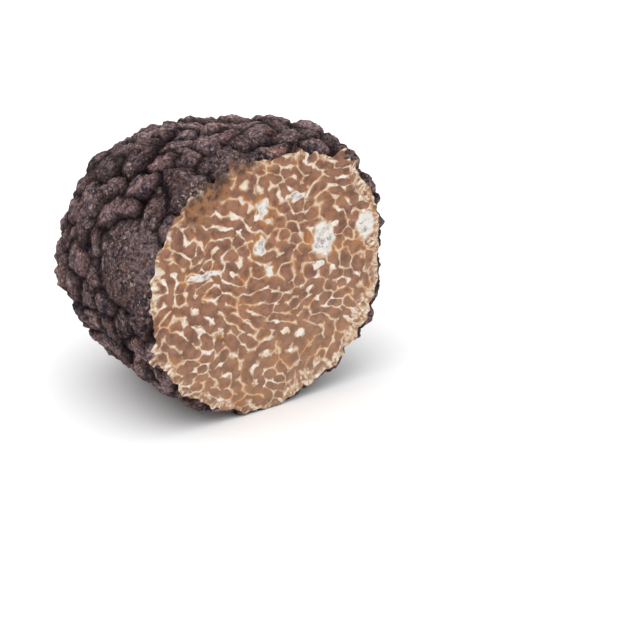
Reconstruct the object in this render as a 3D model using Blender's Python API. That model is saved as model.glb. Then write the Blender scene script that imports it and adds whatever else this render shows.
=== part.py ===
"""A black truffle with one side sliced off: one solid, standing on a small flat spot.

The body is a rounded ellipsoid with a few broad swells, covered with polygonal warts that
narrow grooves part. A vertical plane cuts it at the front, where the flesh shows, and the
underside is worn flat where it rests. +Z is up, the cut faces -Y and the width runs along X.
"""

import math
import random

import bmesh
import bpy
from mathutils import Vector

NODE_NAME = "truffle"

# Driving dimensions of the body, in metres, from its centre to the tops of the warts.
HALF_WIDTH = 0.0300
HALF_DEPTH = 0.0330
HALF_HEIGHT = 0.0279
SQUARENESS = 2.29  # exponent of the superellipsoid: 2 is an ellipsoid, more is boxier

CUT_DISTANCE = 0.0146  # from the centre forward to the sliced face
REST_HEIGHT = 0.0276  # from the resting plane up to the centre, which leaves the flat spot

# Broad swells and hollows: direction from the centre, angular width in degrees, height.
SWELLS = (
    (Vector((0.66, -0.10, 0.74)), 22.0, 0.0016),  # shoulder, upper right of the slice
    (Vector((-0.85, 0.52, -0.11)), 20.0, 0.0018),  # left side
    (Vector((-0.04, -0.46, -0.89)), 18.0, 0.0014),  # under the slice
    (Vector((0.0, 0.15, -0.99)), 34.0, 0.0008),  # belly
    (Vector((0.24, 0.34, 0.91)), 18.0, -0.0024),  # hollow on the crown
    (Vector((-0.78, 0.21, -0.59)), 24.0, -0.0014),  # hollow low on the left
)

# Warts.
WART_SEED = 11
WART_SPACING = (0.0036, 0.0062)  # least and greatest distance that a wart keeps around it
WART_CANDIDATES = 12000
LARGE_WARTS = (
    (Vector((-0.937, -0.247, 0.253)), 0.0150),  # broad flat plate left of the slice
    (Vector((-0.710, -0.080, 0.700)), 0.0064),  # oval lump above it
)
GROOVE_DEPTH = 0.0014
WART_RISE = 0.00035  # how far a wart's top may stand over or under the average
SHOULDER_INSET = 0.34  # from a wart's outline towards its middle, as a share
SHOULDER_LEVEL = 0.84  # height of the shoulder, as a share of the groove's depth

# The underside, where the warts are worn smooth around the flat spot.
WORN_ANGLE = (22.0, 36.0)  # degrees from straight down: smooth inside, full warts outside

MERGE_DISTANCE = 0.0002
ON_PLANE_DISTANCE = 0.00005  # points this near a cutting plane count as on it
SHARP_ANGLE = 40.0

SKIN_COLOUR = (0.084, 0.058, 0.059, 1.0)
FLESH_COLOUR = (0.37, 0.21, 0.14, 1.0)


def smooth_step(low, high, value):
    """0 below low, 1 above high, and a smooth curve between."""
    share = min(max((value - low) / (high - low), 0.0), 1.0)
    return share * share * (3.0 - 2.0 * share)


def skin_radius(direction):
    """Distance from the body's centre to the level of the wart tops."""
    total = 0.0
    for part, half in zip(direction, (HALF_WIDTH, HALF_DEPTH, HALF_HEIGHT)):
        total += (abs(part) / half) ** SQUARENESS
    radius = total ** (-1.0 / SQUARENESS)
    for axis, width, height in SWELLS:
        angle = math.degrees(direction.angle(axis))
        radius += height * math.exp(-((angle / width) ** 2))
    return radius


def skin_point(direction, level, rise=0.0):
    """A point on the skin: level 0 is the bottom of a groove, 1 is the top of a wart."""
    angle_from_down = math.degrees(direction.angle(Vector((0.0, 0.0, -1.0))))
    relief = smooth_step(*WORN_ANGLE, angle_from_down)
    depth = GROOVE_DEPTH * (1.0 - level) - rise * level
    return direction * (skin_radius(direction) - depth * relief)


def random_direction(generator):
    """An even random direction from the centre."""
    height = generator.uniform(-1.0, 1.0)
    turn = generator.uniform(0.0, 2.0 * math.pi)
    across = math.sqrt(1.0 - height * height)
    return Vector((across * math.cos(turn), across * math.sin(turn), height))


def wart_directions(generator):
    """Directions of the warts' middles, spread so that each keeps its own distance."""
    candidates = [(axis.normalized(), spacing) for axis, spacing in LARGE_WARTS]
    for _ in range(WART_CANDIDATES):
        candidates.append((random_direction(generator), generator.uniform(*WART_SPACING)))
    warts = []
    for direction, spacing in candidates:
        place = direction * skin_radius(direction)
        if all((place - other).length > (spacing + room) / 2.0 for _, other, room in warts):
            warts.append((direction, place, spacing))
    return [direction for direction, _, _ in warts]


def wart_outlines(directions):
    """Each wart's outline: the corners of its Voronoi cell, as shared unit vectors in order."""
    hull = bmesh.new()
    for direction in directions:
        hull.verts.new(direction)
    bmesh.ops.convex_hull(hull, input=hull.verts)
    bmesh.ops.recalc_face_normals(hull, faces=hull.faces)
    hull.verts.index_update()
    hull.faces.index_update()
    corners = [face.normal.copy() for face in hull.faces]
    outlines = []
    for vertex in hull.verts:
        first = vertex.link_loops[0]
        outline = [first.face.index]
        loop = first.link_loop_prev.link_loop_radial_next
        while loop != first:
            outline.append(loop.face.index)
            loop = loop.link_loop_prev.link_loop_radial_next
        outlines.append(outline)
    hull.free()
    return corners, outlines


def add_wart(body, corner_vertices, corners, outline, middle, rise):
    """One domed wart: its outline in the grooves, a shoulder ring and a middle point."""
    shoulder = []
    for corner in outline:
        direction = corners[corner].lerp(middle, SHOULDER_INSET).normalized()
        shoulder.append(body.verts.new(skin_point(direction, SHOULDER_LEVEL, rise)))
    top = body.verts.new(skin_point(middle, 1.0, rise))
    for here in range(len(outline)):
        after = (here + 1) % len(outline)
        low = corner_vertices[outline[here]]
        low_after = corner_vertices[outline[after]]
        body.faces.new((low, low_after, shoulder[after], shoulder[here]))
        body.faces.new((shoulder[here], shoulder[after], top))


def warty_body(generator):
    """The whole body before it is sliced, as a closed bmesh."""
    directions = wart_directions(generator)
    corners, outlines = wart_outlines(directions)
    body = bmesh.new()
    corner_vertices = [body.verts.new(skin_point(corner, 0.0)) for corner in corners]
    for outline, middle in zip(outlines, directions):
        rise = generator.uniform(-WART_RISE, WART_RISE)
        add_wart(body, corner_vertices, corners, outline, middle, rise)
    bmesh.ops.remove_doubles(body, verts=body.verts, dist=MERGE_DISTANCE)
    bmesh.ops.triangulate(body, faces=body.faces)
    bmesh.ops.recalc_face_normals(body, faces=body.faces)
    return body


def slice_off(body, plane_point, plane_normal, slot):
    """Cut away what lies beyond the plane and close the cut with a flat face."""
    geometry = body.verts[:] + body.edges[:] + body.faces[:]
    bmesh.ops.bisect_plane(
        body, geom=geometry, dist=ON_PLANE_DISTANCE,
        plane_co=plane_point, plane_no=plane_normal, clear_outer=True,
    )
    rim = [edge for edge in body.edges if edge.is_boundary]
    for vertex in {vertex for edge in rim for vertex in edge.verts}:
        vertex.co -= plane_normal * (vertex.co - plane_point).dot(plane_normal)
    filled = bmesh.ops.holes_fill(body, edges=rim)
    for face in filled["faces"]:
        face.material_index = slot
        face.normal_update()
    bmesh.ops.triangulate(body, faces=filled["faces"])


def stand_on_origin(body):
    """Move the solid so that the middle of its underside box is at the origin."""
    lows = [min(vertex.co[axis] for vertex in body.verts) for axis in range(3)]
    highs = [max(vertex.co[axis] for vertex in body.verts) for axis in range(3)]
    middle = Vector(((lows[0] + highs[0]) / 2.0, (lows[1] + highs[1]) / 2.0, lows[2]))
    bmesh.ops.translate(body, verts=body.verts, vec=-middle)


def plain_material(name, colour, roughness):
    """A Principled material with one colour."""
    material = bpy.data.materials.new(name)
    material.use_nodes = True
    shader = material.node_tree.nodes["Principled BSDF"]
    shader.inputs["Base Color"].default_value = colour
    shader.inputs["Roughness"].default_value = roughness
    shader.inputs["Metallic"].default_value = 0.0
    return material


def build_truffle():
    """The truffle as one object: dark skin, and pale flesh on the slice."""
    generator = random.Random(WART_SEED)
    body = warty_body(generator)
    slice_off(body, Vector((0.0, 0.0, -REST_HEIGHT)), Vector((0.0, 0.0, -1.0)), slot=0)
    slice_off(body, Vector((0.0, -CUT_DISTANCE, 0.0)), Vector((0.0, -1.0, 0.0)), slot=1)
    bmesh.ops.recalc_face_normals(body, faces=body.faces)
    stand_on_origin(body)

    mesh = bpy.data.meshes.new(NODE_NAME)
    body.to_mesh(mesh)
    body.free()
    mesh.materials.append(plain_material("truffle_skin", SKIN_COLOUR, 0.85))
    mesh.materials.append(plain_material("truffle_flesh", FLESH_COLOUR, 0.55))
    mesh.shade_smooth()
    mesh.set_sharp_from_angle(angle=math.radians(SHARP_ANGLE))

    truffle = bpy.data.objects.new(NODE_NAME, mesh)
    bpy.context.scene.collection.objects.link(truffle)
    return truffle


def main():
    """Clear the scene and build the truffle."""
    for thing in list(bpy.data.objects):
        bpy.data.objects.remove(thing, do_unlink=True)
    build_truffle()


main()
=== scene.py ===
"""The looks of the sliced black truffle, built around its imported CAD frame.

One piece, a closed mesh with a skin slot and a flesh slot, replaces the plain CAD solid. The
rounded body and the layout of its warts repeat the CAD's construction, so both have one shape.
"""

import itertools
import math
import random

import bmesh
import bpy
import numpy as np
from mathutils import Matrix, Vector
from mathutils.geometry import delaunay_2d_cdt


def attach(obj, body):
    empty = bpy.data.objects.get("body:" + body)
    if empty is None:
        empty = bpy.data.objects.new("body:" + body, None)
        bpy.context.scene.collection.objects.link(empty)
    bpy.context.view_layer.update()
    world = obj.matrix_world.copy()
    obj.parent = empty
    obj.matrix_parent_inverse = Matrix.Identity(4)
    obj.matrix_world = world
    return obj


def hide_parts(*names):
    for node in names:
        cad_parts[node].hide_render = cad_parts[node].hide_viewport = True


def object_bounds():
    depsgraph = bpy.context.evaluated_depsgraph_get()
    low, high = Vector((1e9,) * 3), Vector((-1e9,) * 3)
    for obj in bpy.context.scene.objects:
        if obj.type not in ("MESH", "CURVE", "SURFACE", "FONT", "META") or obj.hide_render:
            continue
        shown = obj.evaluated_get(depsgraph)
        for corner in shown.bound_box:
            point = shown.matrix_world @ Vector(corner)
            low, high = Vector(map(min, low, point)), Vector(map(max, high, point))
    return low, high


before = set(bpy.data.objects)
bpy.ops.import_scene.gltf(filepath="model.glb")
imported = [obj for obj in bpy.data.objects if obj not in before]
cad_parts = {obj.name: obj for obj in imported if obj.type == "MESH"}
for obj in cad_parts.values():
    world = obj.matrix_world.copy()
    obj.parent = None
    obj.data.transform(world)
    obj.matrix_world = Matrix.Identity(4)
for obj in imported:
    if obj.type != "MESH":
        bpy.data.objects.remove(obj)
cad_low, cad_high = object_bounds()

MM = 0.001

# The CAD's driving dimensions, in metres from the body's centre, repeated.
HALF_SIZES = (0.0300, 0.0330, 0.0279)  # half width, depth and height to the tops of the warts
SQUARENESS = 2.29  # exponent of the superellipsoid: 2 is an ellipsoid, more is boxier
CUT_DISTANCE = 0.0146  # forward to the sliced face
REST_HEIGHT = 0.0276  # down to the resting plane
SWELLS = (  # direction, angular width in degrees, and height
    (Vector((0.66, -0.10, 0.74)), 22.0, 0.0016),
    (Vector((-0.85, 0.52, -0.11)), 20.0, 0.0018),
    (Vector((-0.04, -0.46, -0.89)), 18.0, 0.0014),
    (Vector((0.0, 0.15, -0.99)), 34.0, 0.0008),
    (Vector((0.24, 0.34, 0.91)), 18.0, -0.0024),
    (Vector((-0.78, 0.21, -0.59)), 24.0, -0.0014),
)
WART_SEED = 11
WART_SPACING = (0.0036, 0.0062)  # least and greatest distance that a wart keeps around it
WART_CANDIDATES = 12000
LARGE_WARTS = (  # direction and spacing
    (Vector((-0.937, -0.247, 0.253)), 0.0150),
    (Vector((-0.710, -0.080, 0.700)), 0.0064),
)
WART_RISE = 0.00035  # how far a wart's top may stand over or under the average
WORN_ANGLE = (22.0, 36.0)  # degrees from straight down: smooth inside, full warts outside

# The visual's grooves are finer and deeper than the CAD's, and its warts differ more in height.
VISUAL_DEPTH = 0.0021  # of an average groove
UNEVEN = 2.1  # times the rises that the CAD's warts have
SHOULDER_WIDTH = 0.0027  # from a groove's floor to the level top of a wart
CORNER_BLEND = 0.0006  # the reach within which the borders of three warts run together
BORDER_BENDS = ((0.0011, 0.0048, 3), (0.00050, 0.0019, 9))  # reach, size and seed of each noise
TILT_SEED = 8
TILT_SPREAD = 0.18  # of the slopes of the wart tops
MOST_TILT = 0.0007  # the most that a slope may raise or lower a top
BROAD_UNEVENNESS = (0.0005, 0.0085, 26)  # height, size and seed of the noise

# The largest wart, a plate beside the slice.
PLATE_REACH = 0.0093  # how far its border is pushed out
PLATE_TINT = 0.0  # how light it is, from 0 to 1
PLATE_NEIGHBOURS = 0.0130  # the distance within which warts towards the slice are joined to it

TINT_SEED = 12
JOINED_SEED = 15
JOINED_SHARE = 0.55  # of the warts, joined to a neighbour
JOINED_EDGE = 0.0016  # how far in from a real edge the crease between joined warts seems to be

# Small lumps and grit on the warts.
LUMP_SIZE = 0.0023
LUMP_HEIGHT = 0.00058
KNOB_SIZE = 0.0012
KNOB_HEIGHT = 0.00044
GRIT_SIZE = 0.0007
GRIT_HEIGHT = 0.00020
MEAN_LUMP = 0.3  # of the folded noise that makes lumps
CREASE_WIDTH = 0.16  # in the same measure

# The rind beside the slice.
SLICE_EASE = 0.0040  # the distance from the slice within which the grooves grow shallower
SHALLOW_SHARE = 0.65  # of their depth that the grooves keep at the slice
LIP_DROP = 0.0009  # of the ragged rim
LIP_RISE = 0.0010  # of the curl behind it
DROP_WIDTH = 0.0010
CURL_START = 0.0008  # where the curl is full
CURL_END = (0.0014, 0.0042)  # where it starts to fall, and where it ends

# Places on the slice, in metres across and up from the body's centre.
WHITE_PATCHES = (  # middle, and half width and half height
    ((0.0134, 0.0060), (0.0027, 0.0036)),
    ((0.0240, 0.0063), (0.0023, 0.0027)),
    ((0.0067, 0.0163), (0.0024, 0.0010)),
    ((-0.0012, 0.0152), (0.0012, 0.0021)),
    ((-0.0019, 0.0078), (0.0013, 0.0018)),
    ((0.0125, 0.0006), (0.0013, 0.0010)),
    ((0.0002, 0.0020), (0.0010, 0.0013)),
    ((-0.0152, 0.0046), (0.0042, 0.0008)),
)
TORN_PLACES = (  # middle and radius
    ((-0.0168, 0.0180), 0.0044),
    ((-0.0122, 0.0222), 0.0050),
    ((-0.0062, 0.0258), 0.0040),
)
TORN_DEPTH = 0.0009
TORN_EDGE_BEND = (0.0012, 0.0030, 60)  # reach, size and seed of the noise

# The growth of the flesh's lobes and veins.
GROWTH_SPAN = 0.060  # side of the square that it grows on
GROWTH_CELLS = 400  # along each side of it
GROWTH_SEED = 3
GROWTH_STEPS = 7
GROWTH_PACE = 0.6
GROWTH_GAIN = 0.40  # of the ripples that gain most
START_SPREAD = 0.3  # of the noise that it starts from
LOBE_SIZE = 0.0023
LOBE_STRETCH = 0.65  # how much longer than wide, from 0 for round lobes
LOBE_TURN = 20.0  # of the lobes' long way, clockwise on the slice, in degrees
# Reach, size and seed of the noises that bend the lobes.
FLOW_BENDS = ((0.0028, 0.0110, 83), (0.0006, 0.0022, 86), (0.00026, 0.0011, 88))
VEIN_HALF_WIDTH = 0.00019
OUTSIDE_VEIN = -0.001  # the depth where no vein runs
POOL_LEVEL = -1.55  # the field's level below which white fills a valley
POOL_DEPTH = 0.0006  # for each unit below that level

# The fine mesh.
CUBE_DIVISIONS = 112  # squares along each side of the cube that is blown up to the body
FLESH_SPACING = 0.00027  # between the points of the sliced face
FLESH_SEED = 3
RIM_CLEARANCE = 0.6  # of that spacing, kept free of points beside the rim
CUT_TOLERANCE = 0.00001  # points this near a cutting plane count as on it
FILL_TOLERANCE = 1e-7  # in millimetres, between points that count as one
PART_LENGTH = 8000  # points handled at once, to save memory

# The map: the cell of each side of the skin, by the side's axis and sign, as column and row.
MAP_CELLS = {(0, 1): (2, 0), (0, -1): (2, 1), (1, 1): (2, 2), (2, 1): (1, 2), (2, -1): (0, 2)}
MAP_MARGIN = 0.004

# The camera: its direction from the truffle in degrees, and what it takes in, in metres.
VIEW_AZIMUTH = -34.6
VIEW_ELEVATION = 21.8
VIEW_DISTANCE = 0.5
VIEW_WIDTH = 0.128  # width of what the frame shows at that distance
VIEW_OFFSET = (0.01856, -0.01262)  # of the frame's middle from the body's centre, right and up
SENSOR_WIDTH = 36.0  # in millimetres
CLIP_RANGE = (0.01, 20.0)

# The studio's floor and light.
FLOOR_HALF = 3.0
FLOOR_COLOUR = (0.92, 0.92, 0.92, 1.0)
FLOOR_ROUGHNESS = 0.9
DOME_HORIZON = 0.50  # strength of the white dome level with the floor
DOME_ZENITH = 1.28  # and overhead
SUN_AZIMUTH = -75.0
SUN_ELEVATION = 69.0
SUN_SPREAD = 60.0  # angle that the lamp fills, in degrees
SUN_STRENGTH = 1.30


# ---------------------------------------------------------------- noise

GRADIENT_SEED = 5
NOISE_SCALE = 1.6  # brings the noise to about -1 to 1
SEED_SHIFT = 17.3  # moves the noise of one seed away from the next, in cells

GRADIENTS = np.random.default_rng(GRADIENT_SEED).normal(size=(4096, 3))
GRADIENTS /= np.linalg.norm(GRADIENTS, axis=1)[:, None]


def noise(points, size, seed=0):
    """Smooth gradient noise, about -1 to 1, with features of the given size."""
    scaled = points / size + SEED_SHIFT * seed
    cell = np.floor(scaled).astype(np.int64)
    inside = scaled - cell
    fade = inside**3 * (inside * (inside * 6.0 - 15.0) + 10.0)
    total = np.zeros(len(points))
    for corner in itertools.product((0, 1), repeat=3):
        place = cell + corner
        key = (place[:, 0] * 73856093) ^ (place[:, 1] * 19349663) ^ (place[:, 2] * 83492791)
        slope = GRADIENTS[(key + seed * 7919) % len(GRADIENTS)]
        weight = np.prod(np.where(corner, fade, 1.0 - fade), axis=1)
        total += weight * np.einsum("ij,ij->i", slope, inside - corner)
    return total * NOISE_SCALE


def noise_vectors(points, size, seed):
    """Three independent noises, as a vector for each point."""
    return np.stack([noise(points, size, seed + 31 * axis) for axis in range(3)], axis=1)


def bends(points, noises):
    """A vector for each point, the sum of noises given as reach, size and seed."""
    return sum(reach * noise_vectors(points, size, seed) for reach, size, seed in noises)


def smooth_step(low, high, value):
    """0 below low, 1 above high, and a smooth curve between."""
    share = np.clip((value - low) / (high - low), 0.0, 1.0)
    return share * share * (3.0 - 2.0 * share)


# ---------------------------------------------------------------- the body's shape


def angles_from(directions, axis):
    """Angle in degrees between each direction and the axis."""
    axis = np.array(axis) / np.linalg.norm(axis)
    return np.degrees(np.arccos(np.clip(directions @ axis, -1.0, 1.0)))


def skin_radius(directions):
    """Distance from the body's centre to the level of the wart tops."""
    radius = np.sum((np.abs(directions) / HALF_SIZES) ** SQUARENESS, axis=1)
    radius = radius ** (-1.0 / SQUARENESS)
    for axis, width, height in SWELLS:
        radius += height * np.exp(-((angles_from(directions, axis) / width) ** 2))
    return radius


def random_direction(generator):
    """An even random direction from the centre, drawn as the CAD draws it."""
    height = generator.uniform(-1.0, 1.0)
    turn = generator.uniform(0.0, 2.0 * math.pi)
    across = math.sqrt(1.0 - height * height)
    return (across * math.cos(turn), across * math.sin(turn), height)


def wart_layout():
    """Directions and rises of the warts, the same as in the CAD."""
    generator = random.Random(WART_SEED)
    candidates = [(tuple(axis.normalized()), spacing) for axis, spacing in LARGE_WARTS]
    for _ in range(WART_CANDIDATES):
        candidates.append((random_direction(generator), generator.uniform(*WART_SPACING)))
    directions = np.array([direction for direction, _ in candidates])
    places = directions * skin_radius(directions)[:, None]
    spacings = np.array([spacing for _, spacing in candidates])
    kept = []
    for index in range(len(candidates)):
        gaps = np.linalg.norm(places[kept] - places[index], axis=1)
        if np.all(gaps > (spacings[kept] + spacings[index]) / 2.0):
            kept.append(index)
    rises = np.array([generator.uniform(-WART_RISE, WART_RISE) for _ in kept])
    return places[kept], rises


WARTS, RISES = wart_layout()
REACHES = np.zeros(len(WARTS))
REACHES[0] = PLATE_REACH**2


def joined_warts():
    """A number for each wart, which joined warts share. The plate's is 0."""
    gaps = np.linalg.norm(WARTS[:, None, :] - WARTS[None, :, :], axis=2)
    np.fill_diagonal(gaps, np.inf)
    numbers = np.arange(len(WARTS))
    joined = np.random.default_rng(JOINED_SEED).random(len(WARTS)) < JOINED_SHARE
    numbers[joined] = numbers[np.argmin(gaps, axis=1)[joined]]
    numbers[0] = 0
    numbers[(gaps[0] < PLATE_NEIGHBOURS) & (WARTS[:, 1] < WARTS[0, 1])] = 0
    return numbers


GROUPS = joined_warts()


def nearest_warts(points):
    """Indexes of the three nearest warts to each point, and their squared distances."""
    order = np.empty((len(points), 3), dtype=int)
    for start in range(0, len(points), PART_LENGTH):
        part = slice(start, start + PART_LENGTH)
        gaps = ((points[part, None, :] - WARTS[None, :, :]) ** 2).sum(axis=2) - REACHES
        near = np.argpartition(gaps, 3, axis=1)[:, :3]
        ranks = np.argsort(np.take_along_axis(gaps, near, axis=1), axis=1)
        order[part] = np.take_along_axis(near, ranks, axis=1)
    areas = ((points[:, None, :] - WARTS[order]) ** 2).sum(axis=2) - REACHES[order]
    return order, areas


def border_distance(order, areas, rank):
    """Distance to the border between the nearest wart and another of the three."""
    apart = np.linalg.norm(WARTS[order[:, 0]] - WARTS[order[:, rank]], axis=1)
    same = GROUPS[order[:, 0]] == GROUPS[order[:, rank]]
    return (areas[:, rank] - areas[:, 0]) / (2.0 * apart) + np.where(same, JOINED_EDGE, 0.0)


def wart_relief(points):
    """Height in metres against the wart tops, how near each point is to one, and which one.

    The second goes from 0 on a groove's floor to 1 on a wart's top.
    """
    bent = points.copy()
    for reach, size, seed in BORDER_BENDS:
        bent += reach * noise_vectors(points, size, seed)
    order, areas = nearest_warts(bent)
    near = border_distance(order, areas, 1)
    next_near = border_distance(order, areas, 2)
    share = np.clip(0.5 + 0.5 * (next_near - near) / CORNER_BLEND, 0.0, 1.0)
    edge = next_near * (1.0 - share) + near * share - CORNER_BLEND * share * (1.0 - share)
    edge = np.maximum(edge, 0.0)

    shoulder = np.clip(edge / SHOULDER_WIDTH, 0.0, 1.0)
    arch = np.sqrt(1.0 - (1.0 - shoulder) ** 2)
    groove = np.clip(0.75 + 0.85 * noise(points, 0.0052, 21), 0.12, 1.45)

    wart = order[:, 0]
    tilts = np.random.default_rng(TILT_SEED).normal(scale=TILT_SPREAD, size=WARTS.shape)
    lean = np.einsum("ij,ij->i", bent - WARTS[wart], tilts[wart])
    lean = np.clip(lean, -MOST_TILT, MOST_TILT)
    height = (UNEVEN * RISES[wart] + lean) * arch - VISUAL_DEPTH * groove * (1.0 - arch)
    return height, arch, wart


def fine_relief(points):
    """Lumps, knobs and grit on the warts, in metres, and where no crease parts them: 1."""
    lumps = np.abs(noise(points, LUMP_SIZE, seed=40))
    knobs = np.abs(noise(points, KNOB_SIZE, seed=44))
    grit = noise(points, GRIT_SIZE, seed=48)
    height = LUMP_HEIGHT * (lumps - MEAN_LUMP) + KNOB_HEIGHT * (knobs - MEAN_LUMP)
    height = height + GRIT_HEIGHT * grit
    open_lumps = smooth_step(0.0, CREASE_WIDTH, lumps)
    open_knobs = smooth_step(0.0, CREASE_WIDTH, knobs)
    return height, open_lumps * 0.6 + open_knobs * 0.4


def slice_lip(points, from_slice):
    """Height of the rind where it curls over beside the slice, unevenly, in metres."""
    curl = np.clip(0.75 + 0.9 * noise(points, 0.0034, seed=30), 0.1, 1.4)
    rise = smooth_step(0.0, CURL_START, from_slice) * (1.0 - smooth_step(*CURL_END, from_slice))
    ragged = np.clip(0.45 + 1.1 * noise(points, 0.0017, seed=33), -0.3, 1.6)
    drop = ragged * (1.0 - smooth_step(0.0, DROP_WIDTH, from_slice))
    return LIP_RISE * curl * rise - LIP_DROP * drop


def skin_points(directions):
    """The skin's points from the body's centre, how open to the light each is, and its wart."""
    radius = skin_radius(directions)
    base = directions * radius[:, None]
    height, arch, wart = wart_relief(base)
    rough, no_crease = fine_relief(base)
    relief = smooth_step(*WORN_ANGLE, angles_from(directions, (0.0, 0.0, -1.0)))
    from_slice = np.abs(base[:, 1] + CUT_DISTANCE)
    height *= SHALLOW_SHARE + (1.0 - SHALLOW_SHARE) * smooth_step(0.0, SLICE_EASE, from_slice)
    rise, size, seed = BROAD_UNEVENNESS
    height += slice_lip(base, from_slice) + rise * noise(base, size, seed)
    radius += height * relief + rough * (0.35 + 0.65 * relief)
    open_to_light = (arch * relief + 1.0 - relief) * (0.55 + 0.45 * no_crease)
    return directions * radius[:, None], open_to_light, wart


# ---------------------------------------------------------------- the flesh's growth


def grown_field():
    """A square of smooth heights, with the flesh's lobes as hills and its veins as valleys.

    It grows from noise as patterns do in living tissue: ripples of one length gain on all the
    others until they crowd the slice, and the hills swell wider than the valleys.
    """
    count = GROWTH_CELLS
    steps = np.arange(count) / count * GROWTH_SPAN
    across, up = np.meshgrid(steps, steps, indexing="ij")
    places = np.stack([across.ravel(), up.ravel(), np.zeros(count * count)], axis=1)
    swelling = 0.32 + 0.42 * noise(places, 0.0080, seed=80).reshape(count, count)

    ripples = np.fft.fftfreq(count, GROWTH_SPAN / count) * LOBE_SIZE
    across, up = np.meshgrid(ripples, ripples, indexing="ij")
    gain = GROWTH_GAIN - (1.0 - (1.0 + LOBE_STRETCH) * across**2 - up**2) ** 2
    generator = np.random.default_rng(GROWTH_SEED)
    field = generator.normal(scale=START_SPREAD, size=(count, count))
    for _ in range(GROWTH_STEPS):
        push = swelling * field**2 - field**3
        grown = np.fft.fft2(field) + GROWTH_PACE * np.fft.fft2(push)
        field = np.fft.ifft2(grown / (1.0 - GROWTH_PACE * gain)).real
    return field / field.std()


def read_field(field, places):
    """The field's values at flat places, blended between its four nearest cells."""
    scaled = places / GROWTH_SPAN * len(field)
    cell = np.floor(scaled).astype(int)
    inside = scaled - cell
    total = np.zeros(len(places))
    for corner in itertools.product((0, 1), repeat=2):
        weight = np.prod(np.where(corner, inside, 1.0 - inside), axis=1)
        row, column = ((cell + corner) % len(field)).T
        total += weight * field[row, column]
    return total


def growth_places(places):
    """Flat places in the grown field for places on the slice, bent and turned."""
    turn = math.radians(LOBE_TURN)
    turned = np.array([[math.cos(turn), math.sin(turn)], [-math.sin(turn), math.cos(turn)]])
    return (places[:, [0, 2]] + bends(places, FLOW_BENDS)[:, [0, 2]]) @ turned


def valley_distance(field, flat):
    """Distance in metres from flat places to the floor of the valley that they lie in.

    The floor lies where the slope along the strongest curve is none.
    """
    step = GROWTH_SPAN / len(field)
    slopes = np.gradient(field, step)
    along_x = read_field(slopes[0], flat)
    along_y = read_field(slopes[1], flat)
    curve_xx = read_field(np.gradient(slopes[0], step, axis=0), flat)
    curve_xy = read_field(np.gradient(slopes[0], step, axis=1), flat)
    curve_yy = read_field(np.gradient(slopes[1], step, axis=1), flat)
    across = 0.5 * np.arctan2(2.0 * curve_xy, curve_xx - curve_yy)
    steepest = (curve_xx + curve_yy) / 2.0 + np.hypot((curve_xx - curve_yy) / 2.0, curve_xy)
    slope = np.abs(along_x * np.cos(across) + along_y * np.sin(across))
    return np.where(steepest > 0.0, slope / np.maximum(steepest, 1.0), 1.0)


def vein_depth(places):
    """How far inside a vein each place on the slice is, in millimetres, below 0 outside."""
    flat = growth_places(places)
    field = grown_field()
    level = 0.40 * noise(places, 0.0022, seed=90) - read_field(field, flat)
    strength = smooth_step(-0.1, 0.95, level)
    width = VEIN_HALF_WIDTH * np.clip(1.0 + 0.9 * noise(places, 0.0065, seed=93), 0.65, 1.9)
    line = width * strength - valley_distance(field, flat)
    line = np.where(strength > 0.0, line, OUTSIDE_VEIN)
    pool = (level + POOL_LEVEL) * POOL_DEPTH
    return np.maximum(line, pool) / MM


# ---------------------------------------------------------------- the mesh


def cube_sphere(divisions):
    """Unit directions and squares of a cube blown up to a sphere."""
    steps = np.tan(np.linspace(-math.pi / 4.0, math.pi / 4.0, divisions + 1))
    across, up = np.meshgrid(steps, steps, indexing="ij")
    ones = np.ones_like(across)
    sides = []
    for axis in range(3):
        for sign in (1.0, -1.0):
            grid = [None, None, None]
            grid[axis] = sign * ones
            grid[(axis + 1) % 3] = across * sign
            grid[(axis + 2) % 3] = up
            sides.append(np.stack(grid, axis=-1).reshape(-1, 3))
    points = np.concatenate(sides)
    keys = np.round(points * 1e6).astype(np.int64)
    _, first, shared = np.unique(keys, axis=0, return_index=True, return_inverse=True)
    shared = shared.reshape(-1)
    row = divisions + 1
    corner = (np.arange(divisions)[:, None] * row + np.arange(divisions)).reshape(-1)
    squares = np.stack([corner, corner + row, corner + row + 1, corner + 1], axis=1)
    squares = np.concatenate([squares + side * row * row for side in range(6)])
    points = points[first]
    return points / np.linalg.norm(points, axis=1)[:, None], shared[squares]


def boundary_loops(body):
    """The vertices of each open rim, in order."""
    body.edges.index_update()
    edges = {edge.index: edge for edge in body.edges if edge.is_boundary}
    loops = []
    while edges:
        _, first = edges.popitem()
        loop = [first.verts[0], first.verts[1]]
        while loop[-1] is not loop[0]:
            following = next(edge for edge in loop[-1].link_edges if edge.index in edges)
            del edges[following.index]
            loop.append(following.other_vert(loop[-1]))
        loops.append(loop[:-1])
    return loops


def cut_open(body, point, normal):
    """Remove what lies beyond a plane and set the rims exactly on it."""
    geometry = body.verts[:] + body.edges[:] + body.faces[:]
    bmesh.ops.bisect_plane(
        body, geom=geometry, dist=CUT_TOLERANCE, plane_co=point, plane_no=normal, clear_outer=True,
    )
    loose = [edge for edge in body.edges if not edge.link_faces]
    bmesh.ops.delete(body, geom=loose, context="EDGES")
    lone = [vertex for vertex in body.verts if not vertex.link_faces]
    bmesh.ops.delete(body, geom=lone, context="VERTS")
    rims = boundary_loops(body)
    for vertex in itertools.chain(*rims):
        vertex.co -= normal * (vertex.co - point).dot(normal)
    return rims


def is_inside(points, ends):
    """Whether each flat point lies inside closed outlines, given as pairs of ends."""
    inside = np.zeros(len(points), dtype=bool)
    for (x0, y0), (x1, y1) in ends:
        if y0 != y1:
            crosses = (y0 > points[:, 1]) != (y1 > points[:, 1])
            inside ^= crosses & (points[:, 0] < x0 + (points[:, 1] - y0) / (y1 - y0) * (x1 - x0))
    return inside


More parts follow.
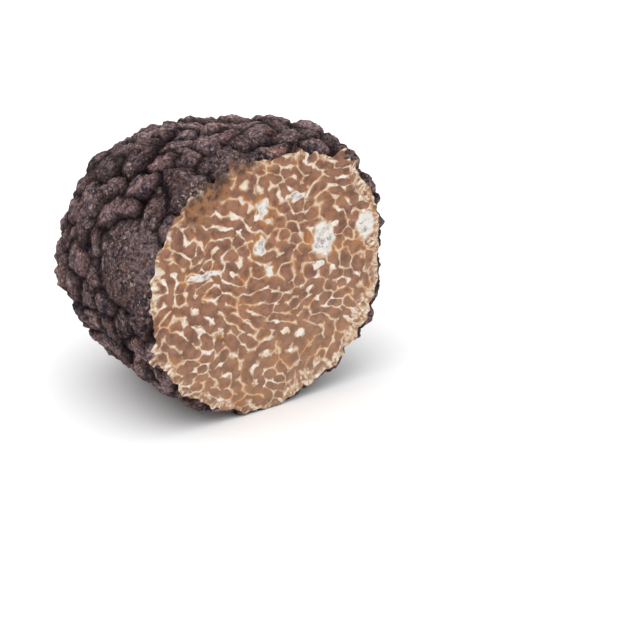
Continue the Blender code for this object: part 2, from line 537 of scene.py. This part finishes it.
def inside_points(ends, spacing, clearance, seed):
    """Jittered points of a triangular grid that lie inside outlines, clear of their edges."""
    low = ends.min(axis=(0, 1))
    high = ends.max(axis=(0, 1))
    rows = np.arange(low[1], high[1], spacing * math.sqrt(0.75))
    grid = []
    for index, height in enumerate(rows):
        start = low[0] + spacing * 0.5 * (index % 2)
        across = np.arange(start, high[0], spacing)
        grid.append(np.stack([across, np.full_like(across, height)], axis=1))
    grid = np.concatenate(grid)
    grid += np.random.default_rng(seed).uniform(-0.2, 0.2, grid.shape) * spacing
    grid = grid[is_inside(grid, ends)]
    return grid[rim_distance(grid, ends[:, 0]) > clearance]


def rim_distance(points, rim):
    """Distance of each flat point to the nearest point of the rim."""
    nearest = np.full(len(points), np.inf)
    for start in range(0, len(points), PART_LENGTH):
        part = slice(start, start + PART_LENGTH)
        gaps = ((points[part, None, :] - rim[None, :, :]) ** 2).sum(axis=2)
        nearest[part] = np.sqrt(gaps.min(axis=1))
    return nearest


def close_with_flesh(body, rims, spacing):
    """Fill the sliced side with fine triangles in the flesh slot."""
    vertices = list(itertools.chain(*rims))
    edges = []
    for rim in rims:
        start = len(edges)
        edges += [(start + here, start + (here + 1) % len(rim)) for here in range(len(rim))]
    outline = np.array([(vertex.co.x, vertex.co.z) for vertex in vertices])
    ends = outline[edges]
    inner = inside_points(ends, spacing, spacing * RIM_CLEARANCE, FLESH_SEED)
    vertices += [body.verts.new((x, -CUT_DISTANCE, z)) for x, z in inner]
    flat = np.concatenate([outline, inner]) / MM
    points = [Vector(point) for point in flat]
    _, _, faces, sources, _, _ = delaunay_2d_cdt(points, edges, [], 0, FILL_TOLERANCE, True)
    triangles = np.array([[sources[corner][0] for corner in face] for face in faces])
    triangles = triangles[is_inside(flat[triangles].mean(axis=1), ends / MM)]
    for triangle in triangles:
        face = body.faces.new([vertices[corner] for corner in triangle])
        face.material_index = 1


def torn_share(places):
    """How torn the slice's edge is at each point, from 0 to 1."""
    flat = places[:, [0, 2]] + bends(places, [TORN_EDGE_BEND])[:, :2]
    share = np.zeros(len(places))
    for middle, radius in TORN_PLACES:
        gap = np.linalg.norm(flat - np.array(middle), axis=1)
        share = np.maximum(share, smooth_step(1.0, 0.35, gap / radius))
    return share


def tear_edge(mesh):
    """Press the torn stretch of the slice's edge in, unevenly."""
    places = vertex_places(mesh)
    rough = 0.65 + 0.55 * noise(places, 0.0016, seed=70) + 0.30 * noise(places, 0.0008, seed=71)
    floor = -CUT_DISTANCE + TORN_DEPTH * torn_share(places) * np.maximum(rough, 0.0)
    places[:, 1] = np.maximum(places[:, 1], floor)
    mesh.vertices.foreach_set("co", places.reshape(-1))
    mesh.update()


def truffle_mesh():
    """The truffle as one closed mesh about the body's centre, skin in slot 0, flesh in slot 1."""
    directions, squares = cube_sphere(CUBE_DIVISIONS)
    points, _, _ = skin_points(directions)
    mesh = bpy.data.meshes.new("truffle_visual")
    mesh.from_pydata(points.tolist(), [], squares.tolist())
    body = bmesh.new()
    body.from_mesh(mesh)
    bmesh.ops.recalc_face_normals(body, faces=body.faces)
    cut_open(body, Vector((0.0, 0.0, -REST_HEIGHT)), Vector((0.0, 0.0, -1.0)))
    bmesh.ops.holes_fill(body, edges=[edge for edge in body.edges if edge.is_boundary])
    rims = cut_open(body, Vector((0.0, -CUT_DISTANCE, 0.0)), Vector((0.0, -1.0, 0.0)))
    close_with_flesh(body, rims, FLESH_SPACING)
    bmesh.ops.triangulate(body, faces=body.faces)
    bmesh.ops.recalc_face_normals(body, faces=body.faces)
    for edge in body.edges:
        edge.smooth = edge.link_faces[0].material_index == edge.link_faces[1].material_index
    for face in body.faces:
        face.smooth = True
    body.to_mesh(mesh)
    body.free()
    tear_edge(mesh)
    return mesh


def vertex_places(mesh):
    """The mesh's vertices as an array."""
    places = np.empty(len(mesh.vertices) * 3)
    mesh.vertices.foreach_get("co", places)
    return places.reshape(-1, 3)


def triangle_arrays(mesh):
    """The vertices of each triangle, and its material slot."""
    corners = np.empty(len(mesh.loops), dtype=int)
    mesh.loops.foreach_get("vertex_index", corners)
    slots = np.empty(len(mesh.polygons), dtype=int)
    mesh.polygons.foreach_get("material_index", slots)
    return corners.reshape(-1, 3), slots


def flesh_vertices(mesh):
    """Whether each vertex touches the flesh, and whether it touches the skin."""
    corners, slots = triangle_arrays(mesh)
    on_flesh = np.zeros(len(mesh.vertices), dtype=bool)
    on_skin = np.zeros(len(mesh.vertices), dtype=bool)
    on_flesh[corners[slots == 1]] = True
    on_skin[corners[slots == 0]] = True
    return on_flesh, on_skin


def add_value(mesh, name, values):
    """Store one number for each vertex, for the materials to read."""
    layer = mesh.attributes.new(name, "FLOAT", "POINT")
    layer.data.foreach_set("value", np.ascontiguousarray(values, dtype=np.float32))


def add_surface_values(mesh):
    """Store what the materials read at each vertex.

    These are how open to the light the vertex is, from a groove's floor to a wart's top, which the
    skin's painted light and shade read, the tint that joined warts share, the distance in
    millimetres to the slice's rim, how torn the slice is and how deep in a vein the vertex is.
    """
    places = vertex_places(mesh)
    lengths = np.linalg.norm(places, axis=1)
    directions = places / lengths[:, None]
    _, groove, wart = skin_points(directions)
    tints = np.random.default_rng(TINT_SEED).uniform(0.0, 1.0, len(WARTS))
    tints[0] = PLATE_TINT
    on_flesh, on_skin = flesh_vertices(mesh)
    rim = places[on_flesh & on_skin][:, [0, 2]]
    inwards = np.zeros(len(places))
    inwards[on_flesh] = rim_distance(places[on_flesh][:, [0, 2]], rim) / MM
    add_value(mesh, "groove", groove)
    add_value(mesh, "tint", tints[GROUPS[wart]])
    add_value(mesh, "rim_mm", inwards)
    add_value(mesh, "torn", torn_share(places))
    veins = np.full(len(places), OUTSIDE_VEIN / MM)
    veins[on_flesh] = vein_depth(places[on_flesh])
    add_value(mesh, "vein_mm", veins)


def add_bake_map(mesh):
    """A map with the slice flat in one corner and the skin in five squares round it."""
    places = vertex_places(mesh)
    triangles, slots = triangle_arrays(mesh)
    middles = places[triangles].mean(axis=1)
    side = np.argmax(np.abs(middles), axis=1)
    sign = np.sign(np.take_along_axis(middles, side[:, None], axis=1))[:, 0]
    uv = np.zeros((len(triangles), 3, 2))
    for (axis, way), (column, row) in MAP_CELLS.items():
        chosen = (side == axis) & (sign == way) & (slots == 0)
        inside = places[triangles[chosen]]
        across = np.arctan2(inside[:, :, (axis + 1) % 3], np.abs(inside[:, :, axis]))
        along = np.arctan2(inside[:, :, (axis + 2) % 3], np.abs(inside[:, :, axis]))
        flat = np.stack([across, along], axis=-1) / (math.pi / 2.0) + 0.5
        flat = np.clip(flat, -0.01, 1.01)
        cell = (np.array([column, row]) + flat) / 3.0
        uv[chosen] = cell * (1.0 - MAP_MARGIN) + MAP_MARGIN / 2.0
    chosen = slots == 1
    flat = places[triangles[chosen]][:, :, [0, 2]]
    reach = np.abs(flat).max() * 2.02
    uv[chosen] = (flat / reach + 0.5) * (2.0 / 3.0 - 2.0 * MAP_MARGIN) + MAP_MARGIN
    layer = mesh.uv_layers.new(name="OFBake")
    layer.data.foreach_set("uv", uv.reshape(-1))


# ---------------------------------------------------------------- materials

# Colours, as linear red, green and blue.
RIND_DEEP = (0.134, 0.080, 0.081)
RIND_PALE = (0.216, 0.147, 0.151)
RIND_RED = (0.165, 0.086, 0.068)
RIND_BLACK = (0.052, 0.039, 0.050)
# Pale grey, of dust and of a painted sheen.
RIND_DUST_AND_SHEEN = (0.28, 0.24, 0.24)
RIND_SPECK = (0.55, 0.42, 0.32)
# Painted shade, nearly black, for the grooves and creases.
RIND_PAINTED_GROOVE_SHADE = (0.014, 0.006, 0.009)
FLESH_DEEP = (0.160, 0.075, 0.053)
FLESH_PALE = (0.350, 0.174, 0.108)
FLESH_LOW = (0.46, 0.30, 0.19)
FLESH_GLOW = (0.46, 0.193, 0.064)
CREAM_DEEP = (0.56, 0.36, 0.22)
CREAM_PALE = (0.84, 0.73, 0.60)
VEIN_EDGE = (0.58, 0.40, 0.26)
VEIN_CLEAR = (0.66, 0.52, 0.39)
VEIN_MILKY = (0.86, 0.79, 0.72)
PATCH_WHITE = (0.78, 0.75, 0.70)
PATCH_GREY = (0.36, 0.35, 0.34)
RUST_DEEP = (0.115, 0.052, 0.032)
RUST_PALE = (0.33, 0.155, 0.075)
RUST_RIM = (0.070, 0.038, 0.031)

# Directions on the slice, across and up, towards which the flesh pales and the cream widens.
PALE_WAY = (0.2, -1.0, 0.0)
CREAM_WAY = (1.0, -0.8, 0.0)

# Heights of the bumps, in metres, and the shine of both materials.
PIT_HEIGHT = 0.0011
CRACK_HEIGHT = 0.0003
GRAIN_HEIGHT = 0.0004
VEIN_HEIGHT = 0.0003
VEIN_BUMP_STRENGTH = 0.3
RIND_SHINE = 0.10
FLESH_SHINE = 0.20

# The Mix node's sockets for colours, which share their names with those for numbers.
MIX_FIRST_COLOUR = 6
MIX_SECOND_COLOUR = 7
MIX_COLOUR_RESULT = 2


class Nodes:
    """A material's node tree, with short calls for the nodes that the materials use."""

    def __init__(self, name):
        self.material = bpy.data.materials.new(name)
        self.material.use_nodes = True
        self.tree = self.material.node_tree
        self.shader = self.tree.nodes["Principled BSDF"]
        coordinates = self.tree.nodes.new("ShaderNodeTexCoord")
        self.place = coordinates.outputs["Object"]

    def fill(self, socket, value):
        """Link a socket to another node's output, set it to a plain value, or leave it: None."""
        if isinstance(value, bpy.types.NodeSocket):
            self.tree.links.new(value, socket)
        elif value is not None:
            socket.default_value = value

    def maths(self, operation, first, second=None):
        """A sum, a product or another operation on one number or two."""
        node = self.tree.nodes.new("ShaderNodeMath")
        node.operation = operation
        for socket, value in zip(node.inputs, (first, second)):
            self.fill(socket, value)
        return node.outputs[0]

    def vector_maths(self, operation, first, second=None):
        """An operation on vectors, which gives a vector, or a number for a length or a dot."""
        node = self.tree.nodes.new("ShaderNodeVectorMath")
        node.operation = operation
        self.fill(node.inputs[0], first)
        self.fill(node.inputs["Scale"] if operation == "SCALE" else node.inputs[1], second)
        return node.outputs["Value" if operation in ("LENGTH", "DOT_PRODUCT") else "Vector"]

    def step(self, value, low, high, start=0.0, end=1.0):
        """A smooth change from start to end while the value goes from low to high."""
        node = self.tree.nodes.new("ShaderNodeMapRange")
        node.interpolation_type = "SMOOTHSTEP"
        for socket, number in zip(node.inputs, (value, low, high, start, end)):
            self.fill(socket, number)
        return node.outputs[0]

    def attribute(self, name):
        """A number stored for each vertex."""
        node = self.tree.nodes.new("ShaderNodeAttribute")
        node.attribute_name = name
        return node.outputs["Fac"]

    def noise(self, size, detail=2.0, roughness=0.5, place=None, colour=False, offset=None):
        """Noise with features of the given size in metres, from 0 to 1."""
        node = self.tree.nodes.new("ShaderNodeTexNoise")
        vector = self.place if place is None else place
        if offset is not None:
            vector = self.vector_maths("ADD", vector, offset)
        self.fill(node.inputs["Vector"], vector)
        node.inputs["Scale"].default_value = 1.0 / size
        node.inputs["Detail"].default_value = detail
        node.inputs["Roughness"].default_value = roughness
        return node.outputs["Color" if colour else "Fac"]

    def wander(self, place, size, reach):
        """Coordinates pushed about by noise of the given size, by up to half the given reach."""
        push = self.noise(size, detail=1.0, place=place, colour=True)
        push = self.vector_maths("SUBTRACT", push, (0.5, 0.5, 0.5))
        return self.vector_maths("ADD", place, self.vector_maths("SCALE", push, reach))

    def mix(self, factor, first, second, blend="MIX"):
        """Two colours mixed."""
        node = self.tree.nodes.new("ShaderNodeMix")
        node.data_type = "RGBA"
        node.blend_type = blend
        self.fill(node.inputs["Factor"], factor)
        for index, value in ((MIX_FIRST_COLOUR, first), (MIX_SECOND_COLOUR, second)):
            value = (*value, 1.0) if isinstance(value, tuple) else value
            self.fill(node.inputs[index], value)
        return node.outputs[MIX_COLOUR_RESULT]

    def shade(self, colour, value, low, high, start, end):
        """A colour multiplied by a number that goes from start to end as the value rises."""
        grey = self.grey(self.step(value, low, high, start, end))
        return self.mix(1.0, colour, grey, "MULTIPLY")

    def grey(self, value):
        """A number as a grey colour."""
        node = self.tree.nodes.new("ShaderNodeCombineColor")
        for socket in node.inputs:
            self.fill(socket, value)
        return node.outputs[0]

    def bump(self, height, distance, strength=1.0, normal=None):
        """A normal bent by a height from 0 to 1 over the given distance in metres."""
        node = self.tree.nodes.new("ShaderNodeBump")
        node.inputs["Strength"].default_value = strength
        node.inputs["Distance"].default_value = distance
        self.fill(node.inputs["Height"], height)
        if normal is not None:
            self.fill(node.inputs["Normal"], normal)
        return node.outputs["Normal"]

    def finish(self, colour, roughness, normal, shine):
        """Join the results to the shader, and set how much it shines."""
        self.fill(self.shader.inputs["Base Color"], colour)
        self.fill(self.shader.inputs["Roughness"], roughness)
        self.fill(self.shader.inputs["Normal"], normal)
        self.shader.inputs["Specular IOR Level"].default_value = shine
        return self.material


def rind_base(nodes):
    """The rind's brown-black, in broad areas and patches, with a tint for each wart."""
    broad = nodes.noise(0.011, detail=2.0)
    colour = nodes.mix(nodes.step(broad, 0.35, 0.65), RIND_DEEP, RIND_PALE)
    patches = nodes.noise(0.0028, detail=3.0, roughness=0.6, offset=(0.3, 0.1, 0.0))
    colour = nodes.mix(nodes.step(patches, 0.55, 0.68), colour, RIND_RED)
    colour = nodes.mix(nodes.step(patches, 0.47, 0.33), colour, RIND_BLACK)
    return nodes.shade(colour, nodes.attribute("tint"), 0.0, 1.0, 0.64, 1.28)


def rind_specks(nodes, colour):
    """The colour with pale specks where dust has gathered."""
    specks = nodes.noise(0.00062, detail=1.0, offset=(0.0, 0.7, 0.2))
    dust = nodes.noise(0.004, detail=2.0, offset=(0.5, 0.0, 0.9))
    speck = nodes.maths("MULTIPLY", nodes.step(specks, 0.60, 0.70), nodes.step(dust, 0.42, 0.60))
    return nodes.mix(nodes.maths("MULTIPLY", speck, 0.55), colour, RIND_SPECK)


def rind_painted_light_and_shade(nodes, colour):
    """The colour with painted light on the crests of the warts and painted shade, nearly black, in
    the grooves.
    """
    groove = nodes.attribute("groove")
    # Painted light and shade: lighter on the wart tops, darker down their sides.
    colour = nodes.shade(colour, groove, 0.52, 1.0, 0.58, 1.46)
    # Painted shade: nearly black in the grooves and fine creases.
    return nodes.mix(nodes.step(groove, 0.12, 0.70), RIND_PAINTED_GROOVE_SHADE, colour)


def skin_material():
    """Dry, dusty, brown-black rind, with painted sheen on its grain, painted light on its crests
    and painted shade in its grooves.
    """
    nodes = Nodes("truffle_skin")
    mottle = nodes.noise(0.0011, detail=2.0, roughness=0.6, offset=(0.0, 0.4, 0.8))
    grain = nodes.noise(0.00060, detail=2.0, roughness=0.6)
    cracks = nodes.maths("SUBTRACT", nodes.noise(0.0016, detail=2.0, offset=(0.2, 0.6, 0.0)), 0.5)
    cracks = nodes.maths("ABSOLUTE", cracks)

    colour = nodes.shade(rind_base(nodes), mottle, 0.34, 0.66, 0.62, 1.42)
    colour = nodes.shade(colour, grain, 0.34, 0.68, 0.72, 1.28)
    # Dust and painted sheen: the grain's palest spots turn grey, as dust and as a dull shine.
    colour = nodes.mix(nodes.step(grain, 0.54, 0.70, 0.0, 0.45), colour, RIND_DUST_AND_SHEEN)
    colour = nodes.shade(colour, cracks, 0.0, 0.05, 0.64, 1.05)
    # Painted light on the crests and painted shade in the grooves.
    colour = rind_painted_light_and_shade(nodes, rind_specks(nodes, colour))

    pits = nodes.noise(0.0009, detail=4.0, roughness=0.7)
    normal = nodes.bump(pits, PIT_HEIGHT)
    normal = nodes.bump(nodes.step(cracks, 0.0, 0.06), CRACK_HEIGHT, normal=normal)
    normal = nodes.bump(grain, GRAIN_HEIGHT, normal=normal)
    roughness = nodes.step(grain, 0.3, 0.7, 0.72, 0.95)
    return nodes.finish(colour, roughness, normal, RIND_SHINE)


def slice_place(nodes):
    """Flat coordinates on the slice, across and up, in metres from the body's centre."""
    separate = nodes.tree.nodes.new("ShaderNodeSeparateXYZ")
    nodes.fill(separate.inputs[0], nodes.place)
    combine = nodes.tree.nodes.new("ShaderNodeCombineXYZ")
    nodes.fill(combine.inputs["X"], separate.outputs["X"])
    nodes.fill(combine.inputs["Y"], nodes.maths("SUBTRACT", separate.outputs["Z"], REST_HEIGHT))
    return combine.outputs[0]


def white_patches(nodes, flat):
    """How far inside one of the few large white patches a point is: 1 at its middle."""
    bent = nodes.wander(flat, 0.0020, 0.0030)
    deepest = -1.0
    for (across, up), (wide, tall) in WHITE_PATCHES:
        apart = nodes.vector_maths("SUBTRACT", bent, (across, up, 0.0))
        apart = nodes.vector_maths("DIVIDE", apart, (wide, tall, 1.0))
        depth = nodes.maths("SUBTRACT", 1.0, nodes.vector_maths("LENGTH", apart))
        deepest = nodes.maths("MAXIMUM", depth, deepest)
    return deepest


def rim_streaks(nodes, flat, rim):
    """Noise drawn out across the slice's rim, from 0 to 1."""
    separate = nodes.tree.nodes.new("ShaderNodeSeparateXYZ")
    nodes.fill(separate.inputs[0], flat)
    around = nodes.maths("ARCTAN2", separate.outputs["Y"], separate.outputs["X"])
    combine = nodes.tree.nodes.new("ShaderNodeCombineXYZ")
    nodes.fill(combine.inputs["X"], nodes.maths("MULTIPLY", around, 0.025))
    nodes.fill(combine.inputs["Y"], nodes.maths("MULTIPLY", rim, 0.00075))
    bent = nodes.wander(combine.outputs[0], 0.0020, 0.0012)
    return nodes.noise(0.0008, detail=2.0, place=bent)


def flesh_brown(nodes, flat, shade, warm, vein):
    """Hazel brown, paler low on the slice, with an orange glow beside the veins."""
    brown = nodes.mix(nodes.step(shade, 0.34, 0.66), FLESH_DEEP, FLESH_PALE)
    low = nodes.vector_maths("DOT_PRODUCT", flat, PALE_WAY)
    brown = nodes.mix(nodes.step(low, -0.004, 0.024, 0.0, 0.26), brown, FLESH_LOW)
    beside_vein = nodes.step(vein, -1.15, -0.15)
    glow = nodes.maths("MULTIPLY", beside_vein, nodes.step(warm, 0.45, 0.60, 0.08, 1.0))
    return nodes.mix(glow, brown, FLESH_GLOW)


def cream_rim(nodes, colour, flat, rim):
    """The colour with cream streaks inside the rim, wider towards the lower right."""
    streaks = rim_streaks(nodes, flat, rim)
    reach = nodes.step(nodes.noise(0.0050, 2.0, offset=(0.1, 0.0, 0.3)), 0.40, 0.62, -0.5, 2.6)
    side = nodes.vector_maths("DOT_PRODUCT", flat, CREAM_WAY)
    reach = nodes.maths("ADD", reach, nodes.step(side, 0.0, 0.030, -0.3, 2.1))
    near_rim = nodes.step(nodes.maths("SUBTRACT", rim, reach), 0.0, -1.4)
    share = nodes.maths("MULTIPLY", near_rim, nodes.step(streaks, 0.34, 0.54))
    cream = nodes.mix(nodes.step(streaks, 0.44, 0.66), CREAM_DEEP, CREAM_PALE)
    return nodes.mix(share, colour, cream)


def white_veins(nodes, colour, vein, patch, warm):
    """The colour with the veins and the white patches on it, which have grey smudges."""
    colour = nodes.mix(nodes.step(vein, -0.30, 0.05), colour, VEIN_EDGE)
    inside_vein = nodes.step(vein, 0.03, 0.20)
    milky = nodes.maths("MULTIPLY", inside_vein, nodes.step(warm, 0.62, 0.42, 0.3, 1.0))
    white = nodes.mix(milky, VEIN_CLEAR, VEIN_MILKY)
    white = nodes.mix(nodes.step(patch, 0.0, 0.2), white, PATCH_WHITE)
    smudge = nodes.noise(0.0012, 3.0, roughness=0.65, offset=(0.6, 0.2, 0.0))
    grey = nodes.maths("MULTIPLY", nodes.step(smudge, 0.48, 0.64), nodes.step(patch, 0.10, 0.40))
    white = nodes.mix(grey, white, PATCH_GREY)
    return nodes.mix(nodes.step(vein, -0.11, 0.16), colour, white)


def torn_rust(nodes, colour, rim):
    """The colour with rusty brown on the torn stretch of the edge, darkest at the rim."""
    change = nodes.noise(0.0017, 4.0, roughness=0.6)
    rust = nodes.mix(nodes.step(change, 0.36, 0.62), RUST_DEEP, RUST_PALE)
    inwards = nodes.maths("ADD", rim, nodes.step(change, 0.35, 0.65, -1.2, 1.2))
    rust = nodes.mix(nodes.step(inwards, 2.6, 0.1), rust, RUST_RIM)
    frayed = nodes.maths("ADD", nodes.attribute("torn"), nodes.step(change, 0.3, 0.7, -0.3, 0.3))
    return nodes.mix(nodes.step(frayed, -0.10, 0.75, 0.0, 0.92), colour, rust)


def flesh_material():
    """Hazel flesh with white branching veins."""
    nodes = Nodes("truffle_flesh")
    rim = nodes.attribute("rim_mm")
    flat = slice_place(nodes)
    patch = white_patches(nodes, flat)
    ragged = nodes.step(nodes.noise(0.0007, 2.0), 0.3, 0.7, -0.06, 0.06)
    vein = nodes.maths("ADD", nodes.attribute("vein_mm"), ragged)
    vein = nodes.maths("MAXIMUM", vein, nodes.maths("MULTIPLY", patch, 1.2))
    shade = nodes.noise(0.0024, 4.0, roughness=0.6)
    warm = nodes.noise(0.0045, 2.0, offset=(0.4, 0.0, 0.1))

    colour = flesh_brown(nodes, flat, shade, warm, vein)
    colour = cream_rim(nodes, colour, flat, rim)
    colour = white_veins(nodes, colour, vein, patch, warm)
    colour = torn_rust(nodes, colour, rim)
    normal = nodes.bump(vein, VEIN_HEIGHT, VEIN_BUMP_STRENGTH)
    return nodes.finish(colour, nodes.step(shade, 0.3, 0.7, 0.40, 0.55), normal, FLESH_SHINE)


# ---------------------------------------------------------------- the piece


def make_truffle():
    """The visual truffle, in place of the CAD node."""
    mesh = truffle_mesh()
    add_surface_values(mesh)
    add_bake_map(mesh)
    places = vertex_places(mesh)
    centre = Vector((
        (cad_low.x + cad_high.x - places[:, 0].min() - places[:, 0].max()) / 2.0,
        cad_low.y + CUT_DISTANCE,
        cad_low.z + REST_HEIGHT,
    ))
    mesh.transform(Matrix.Translation(centre))
    mesh.materials.append(skin_material())
    mesh.materials.append(flesh_material())
    truffle = bpy.data.objects.new("truffle_body", mesh)
    bpy.context.scene.collection.objects.link(truffle)
    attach(truffle, "root")
    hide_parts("truffle")
    return centre


# ---------------------------------------------------------------- camera, floor and light


def make_camera(centre):
    """A long lens from the front left, aimed so that the truffle stands off centre."""
    back = direction_to(VIEW_AZIMUTH, VIEW_ELEVATION)
    right = Vector((0.0, 0.0, 1.0)).cross(back).normalized()
    up = back.cross(right)
    camera = bpy.data.objects.new("camera", bpy.data.cameras.new("camera"))
    camera.data.sensor_width = SENSOR_WIDTH
    camera.data.lens = SENSOR_WIDTH * VIEW_DISTANCE / VIEW_WIDTH
    camera.data.clip_start, camera.data.clip_end = CLIP_RANGE
    camera.location = centre + back * VIEW_DISTANCE
    target = centre + right * VIEW_OFFSET[0] + up * VIEW_OFFSET[1]
    camera.rotation_euler = (target - camera.location).to_track_quat("-Z", "Y").to_euler()
    bpy.context.scene.collection.objects.link(camera)
    bpy.context.scene.camera = camera


def make_floor():
    """A plain white table."""
    mesh = bpy.data.meshes.new("floor")
    signs = ((-1, -1), (1, -1), (1, 1), (-1, 1))
    corners = [(across * FLOOR_HALF, along * FLOOR_HALF, 0.0) for across, along in signs]
    mesh.from_pydata(corners, [], [(0, 1, 2, 3)])
    material = bpy.data.materials.new("floor")
    material.use_nodes = True
    shader = material.node_tree.nodes["Principled BSDF"]
    shader.inputs["Base Color"].default_value = FLOOR_COLOUR
    shader.inputs["Roughness"].default_value = FLOOR_ROUGHNESS
    mesh.materials.append(material)
    floor = bpy.data.objects.new("floor", mesh)
    floor.location.z = cad_low.z
    bpy.context.scene.collection.objects.link(floor)


def direction_to(azimuth, elevation):
    """Unit vector towards an azimuth and elevation in degrees; azimuth 0 is in front, at -Y."""
    turn = math.radians(azimuth)
    rise = math.radians(elevation)
    level = math.cos(rise)
    return Vector((math.sin(turn) * level, -math.cos(turn) * level, math.sin(rise)))


def add_sun(azimuth, elevation, spread, strength):
    """A soft even light from one side."""
    sun = bpy.data.objects.new("soft_light", bpy.data.lights.new("soft_light", "SUN"))
    sun.data.angle = math.radians(spread)
    sun.data.energy = strength
    sun.rotation_euler = direction_to(azimuth, elevation).to_track_quat("Z", "Y").to_euler()
    bpy.context.scene.collection.objects.link(sun)


def make_light():
    """A bright even studio: a white dome, strongest overhead, and one large lamp."""
    world = bpy.data.worlds.new("studio")
    world.use_nodes = True
    tree = world.node_tree
    direction = tree.nodes.new("ShaderNodeTexCoord").outputs["Generated"]
    separate = tree.nodes.new("ShaderNodeSeparateXYZ")
    tree.links.new(direction, separate.inputs[0])
    height = tree.nodes.new("ShaderNodeMapRange")
    tree.links.new(separate.outputs["Z"], height.inputs["Value"])
    height.inputs["From Min"].default_value = 0.0
    height.inputs["From Max"].default_value = 1.0
    height.inputs["To Min"].default_value = DOME_HORIZON
    height.inputs["To Max"].default_value = DOME_ZENITH
    background = tree.nodes["Background"]
    background.inputs["Color"].default_value = (1.0, 1.0, 1.0, 1.0)
    tree.links.new(height.outputs[0], background.inputs["Strength"])
    bpy.context.scene.world = world
    add_sun(SUN_AZIMUTH, SUN_ELEVATION, SUN_SPREAD, SUN_STRENGTH)
    bpy.context.scene.view_settings.view_transform = "Standard"


def main():
    """Build everything."""
    centre = make_truffle()
    make_camera(centre)
    make_floor()
    make_light()


main()
